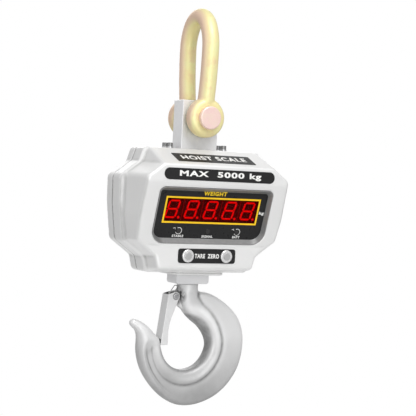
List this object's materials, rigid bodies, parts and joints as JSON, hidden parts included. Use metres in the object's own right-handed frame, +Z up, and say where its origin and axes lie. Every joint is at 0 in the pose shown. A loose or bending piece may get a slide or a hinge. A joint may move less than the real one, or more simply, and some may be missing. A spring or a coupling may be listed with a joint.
{
  "type": "crane scale",
  "caption": "Hanging crane scale: shackle above, cast housing with a sloping lit digit display and two buttons, swivel hook with safety latch below.",
  "frame": {"origin": "highest point of the inside of the shackle's bow, on the load line, where the crane's hook carries it", "axes": "+Z up along the load line; -Y out of the display; +X to the right of someone reading the display"},
  "size_m": [0.2628, 0.1764, 0.5916],
  "materials": {
    "zinc_steel": "yellow zinc passivate on forged steel, satin",
    "plain_steel": "machined steel",
    "cell_steel": "milled alloy steel, dull",
    "gauge_foil": "polyimide foil",
    "housing_paint": "light silver paint on cast aluminium, satin",
    "plate_paint": "light silver paint on sheet aluminium",
    "gasket": "grey silicone",
    "bezel_grey": "silver grey moulded plastic",
    "panel_black": "black acrylic",
    "frame_yellow": "yellow print",
    "filter_red": "dark red tinted acrylic",
    "module_dark": "dark epoxy face",
    "led_red": "lit red segments",
    "board_green": "solder mask",
    "nylon": "natural nylon",
    "lamp_dark": "dark lamp lens",
    "cable_grey": "cable sheath",
    "label_black": "black printed label",
    "ring_chrome": "polished",
    "cap_white": "moulded cap",
    "switch_black": "moulded switch body",
    "tray_black": "moulded tray",
    "battery_case": "battery case",
    "rubber_black": "rubber",
    "bearing_steel": "ground bearing steel",
    "cage_brass": "pressed brass",
    "hook_paint": "silver grey paint on forged steel",
    "latch_zinc": "zinc plated sheet steel"
  },
  "bodies": {
    "shackle": {"shackle_bow": "zinc_steel", "shackle_pin": "zinc_steel", "pin_washer": "zinc_steel", "split_pin": "plain_steel"},
    "scale": {"load_cell": "cell_steel", "strain_gauges": "gauge_foil", "gauge_covers": "plain_steel", "cell_cable": "cable_grey", "cell_brackets": "plain_steel", "bracket_screws": "plain_steel", "front_cover": "housing_paint", "rear_cover": "housing_paint", "seam_gasket": "gasket", "case_screws": "plain_steel", "top_washers": "plain_steel", "top_screws": "plain_steel", "lug_seal": "rubber_black", "block_seal": "rubber_black", "base_plate": "plate_paint", "base_screws": "plain_steel", "display_bezel": "bezel_grey", "display_panel": "panel_black", "display_frame": "frame_yellow", "red_filter": "filter_red", "digit_modules": "module_dark", "digit_segments": "led_red", "display_board": "board_green", "board_spacers": "nylon", "board_screws": "plain_steel", "status_lights": "lamp_dark", "main_board": "board_green", "board_posts": "nylon", "capacity_label": "label_black", "title_label": "label_black", "button_plate": "label_black", "button_rings": "ring_chrome", "button_nuts": "plain_steel", "button_switches": "switch_black", "battery": "battery_case", "battery_tray": "tray_black", "door_hinge_pin": "plain_steel", "door_seal": "rubber_black", "charge_socket": "switch_black", "socket_cap": "rubber_black", "bearing_lower_race": "bearing_steel"},
    "tare": {"tare_button": "cap_white"},
    "zero": {"zero_button": "cap_white"},
    "door": {"battery_door": "plate_paint"},
    "door_screw": {"thumb_screw": "plain_steel"},
    "bearing": {"bearing_cage": "cage_brass", "bearing_balls": "bearing_steel"},
    "swivel_hook": {"hook": "hook_paint", "hook_nut": "plain_steel", "nut_lock_pin": "plain_steel", "bearing_upper_race": "bearing_steel", "latch_rivet": "plain_steel"},
    "hook_latch": {"latch": "latch_zinc", "latch_spring": "plain_steel"}
  },
  "joints": [
    {"name": "shackle_swing", "type": "hinge", "parent": "shackle", "child": "scale", "pos_m": [0, 0, -0.1375], "axis": [0, 1, 0], "range_deg": [-105, 105]},
    {"name": "hook_swivel", "type": "hinge", "parent": "scale", "child": "swivel_hook", "pos_m": [0, 0, -0.33], "axis": [0, 0, 1], "continuous": true},
    {"name": "bearing_turn", "type": "hinge", "parent": "scale", "child": "bearing", "pos_m": [0, 0, -0.33], "axis": [0, 0, 1], "continuous": true},
    {"name": "latch_hinge", "type": "hinge", "parent": "swivel_hook", "child": "hook_latch", "pos_m": [-0.0235, 0, -0.402], "axis": [0, -1, 0], "range_deg": [0, 45], "stiffness_Nm_per_rad": 0.05, "springref_deg": -45.84},
    {"name": "tare_press", "type": "slide", "parent": "scale", "child": "tare", "axis": [0, 1, 0], "range_m": [0, 0.0015], "stiffness_N_per_m": 800, "springref_m": -0.001},
    {"name": "zero_press", "type": "slide", "parent": "scale", "child": "zero", "axis": [0, 1, 0], "range_m": [0, 0.0015], "stiffness_N_per_m": 800, "springref_m": -0.001},
    {"name": "door_hinge", "type": "hinge", "parent": "scale", "child": "door", "pos_m": [0, 0.087, -0.222], "axis": [1, 0, 0], "range_deg": [0, 110]},
    {"name": "thumb_screw_turn", "type": "hinge", "parent": "door", "child": "door_screw", "pos_m": [0, 0.0855, -0.308], "axis": [0, 1, 0], "continuous": true}
  ],
  "couplings": [
    {"joint": "bearing_turn", "follows": "hook_swivel", "ratio": 0.5}
  ]
}
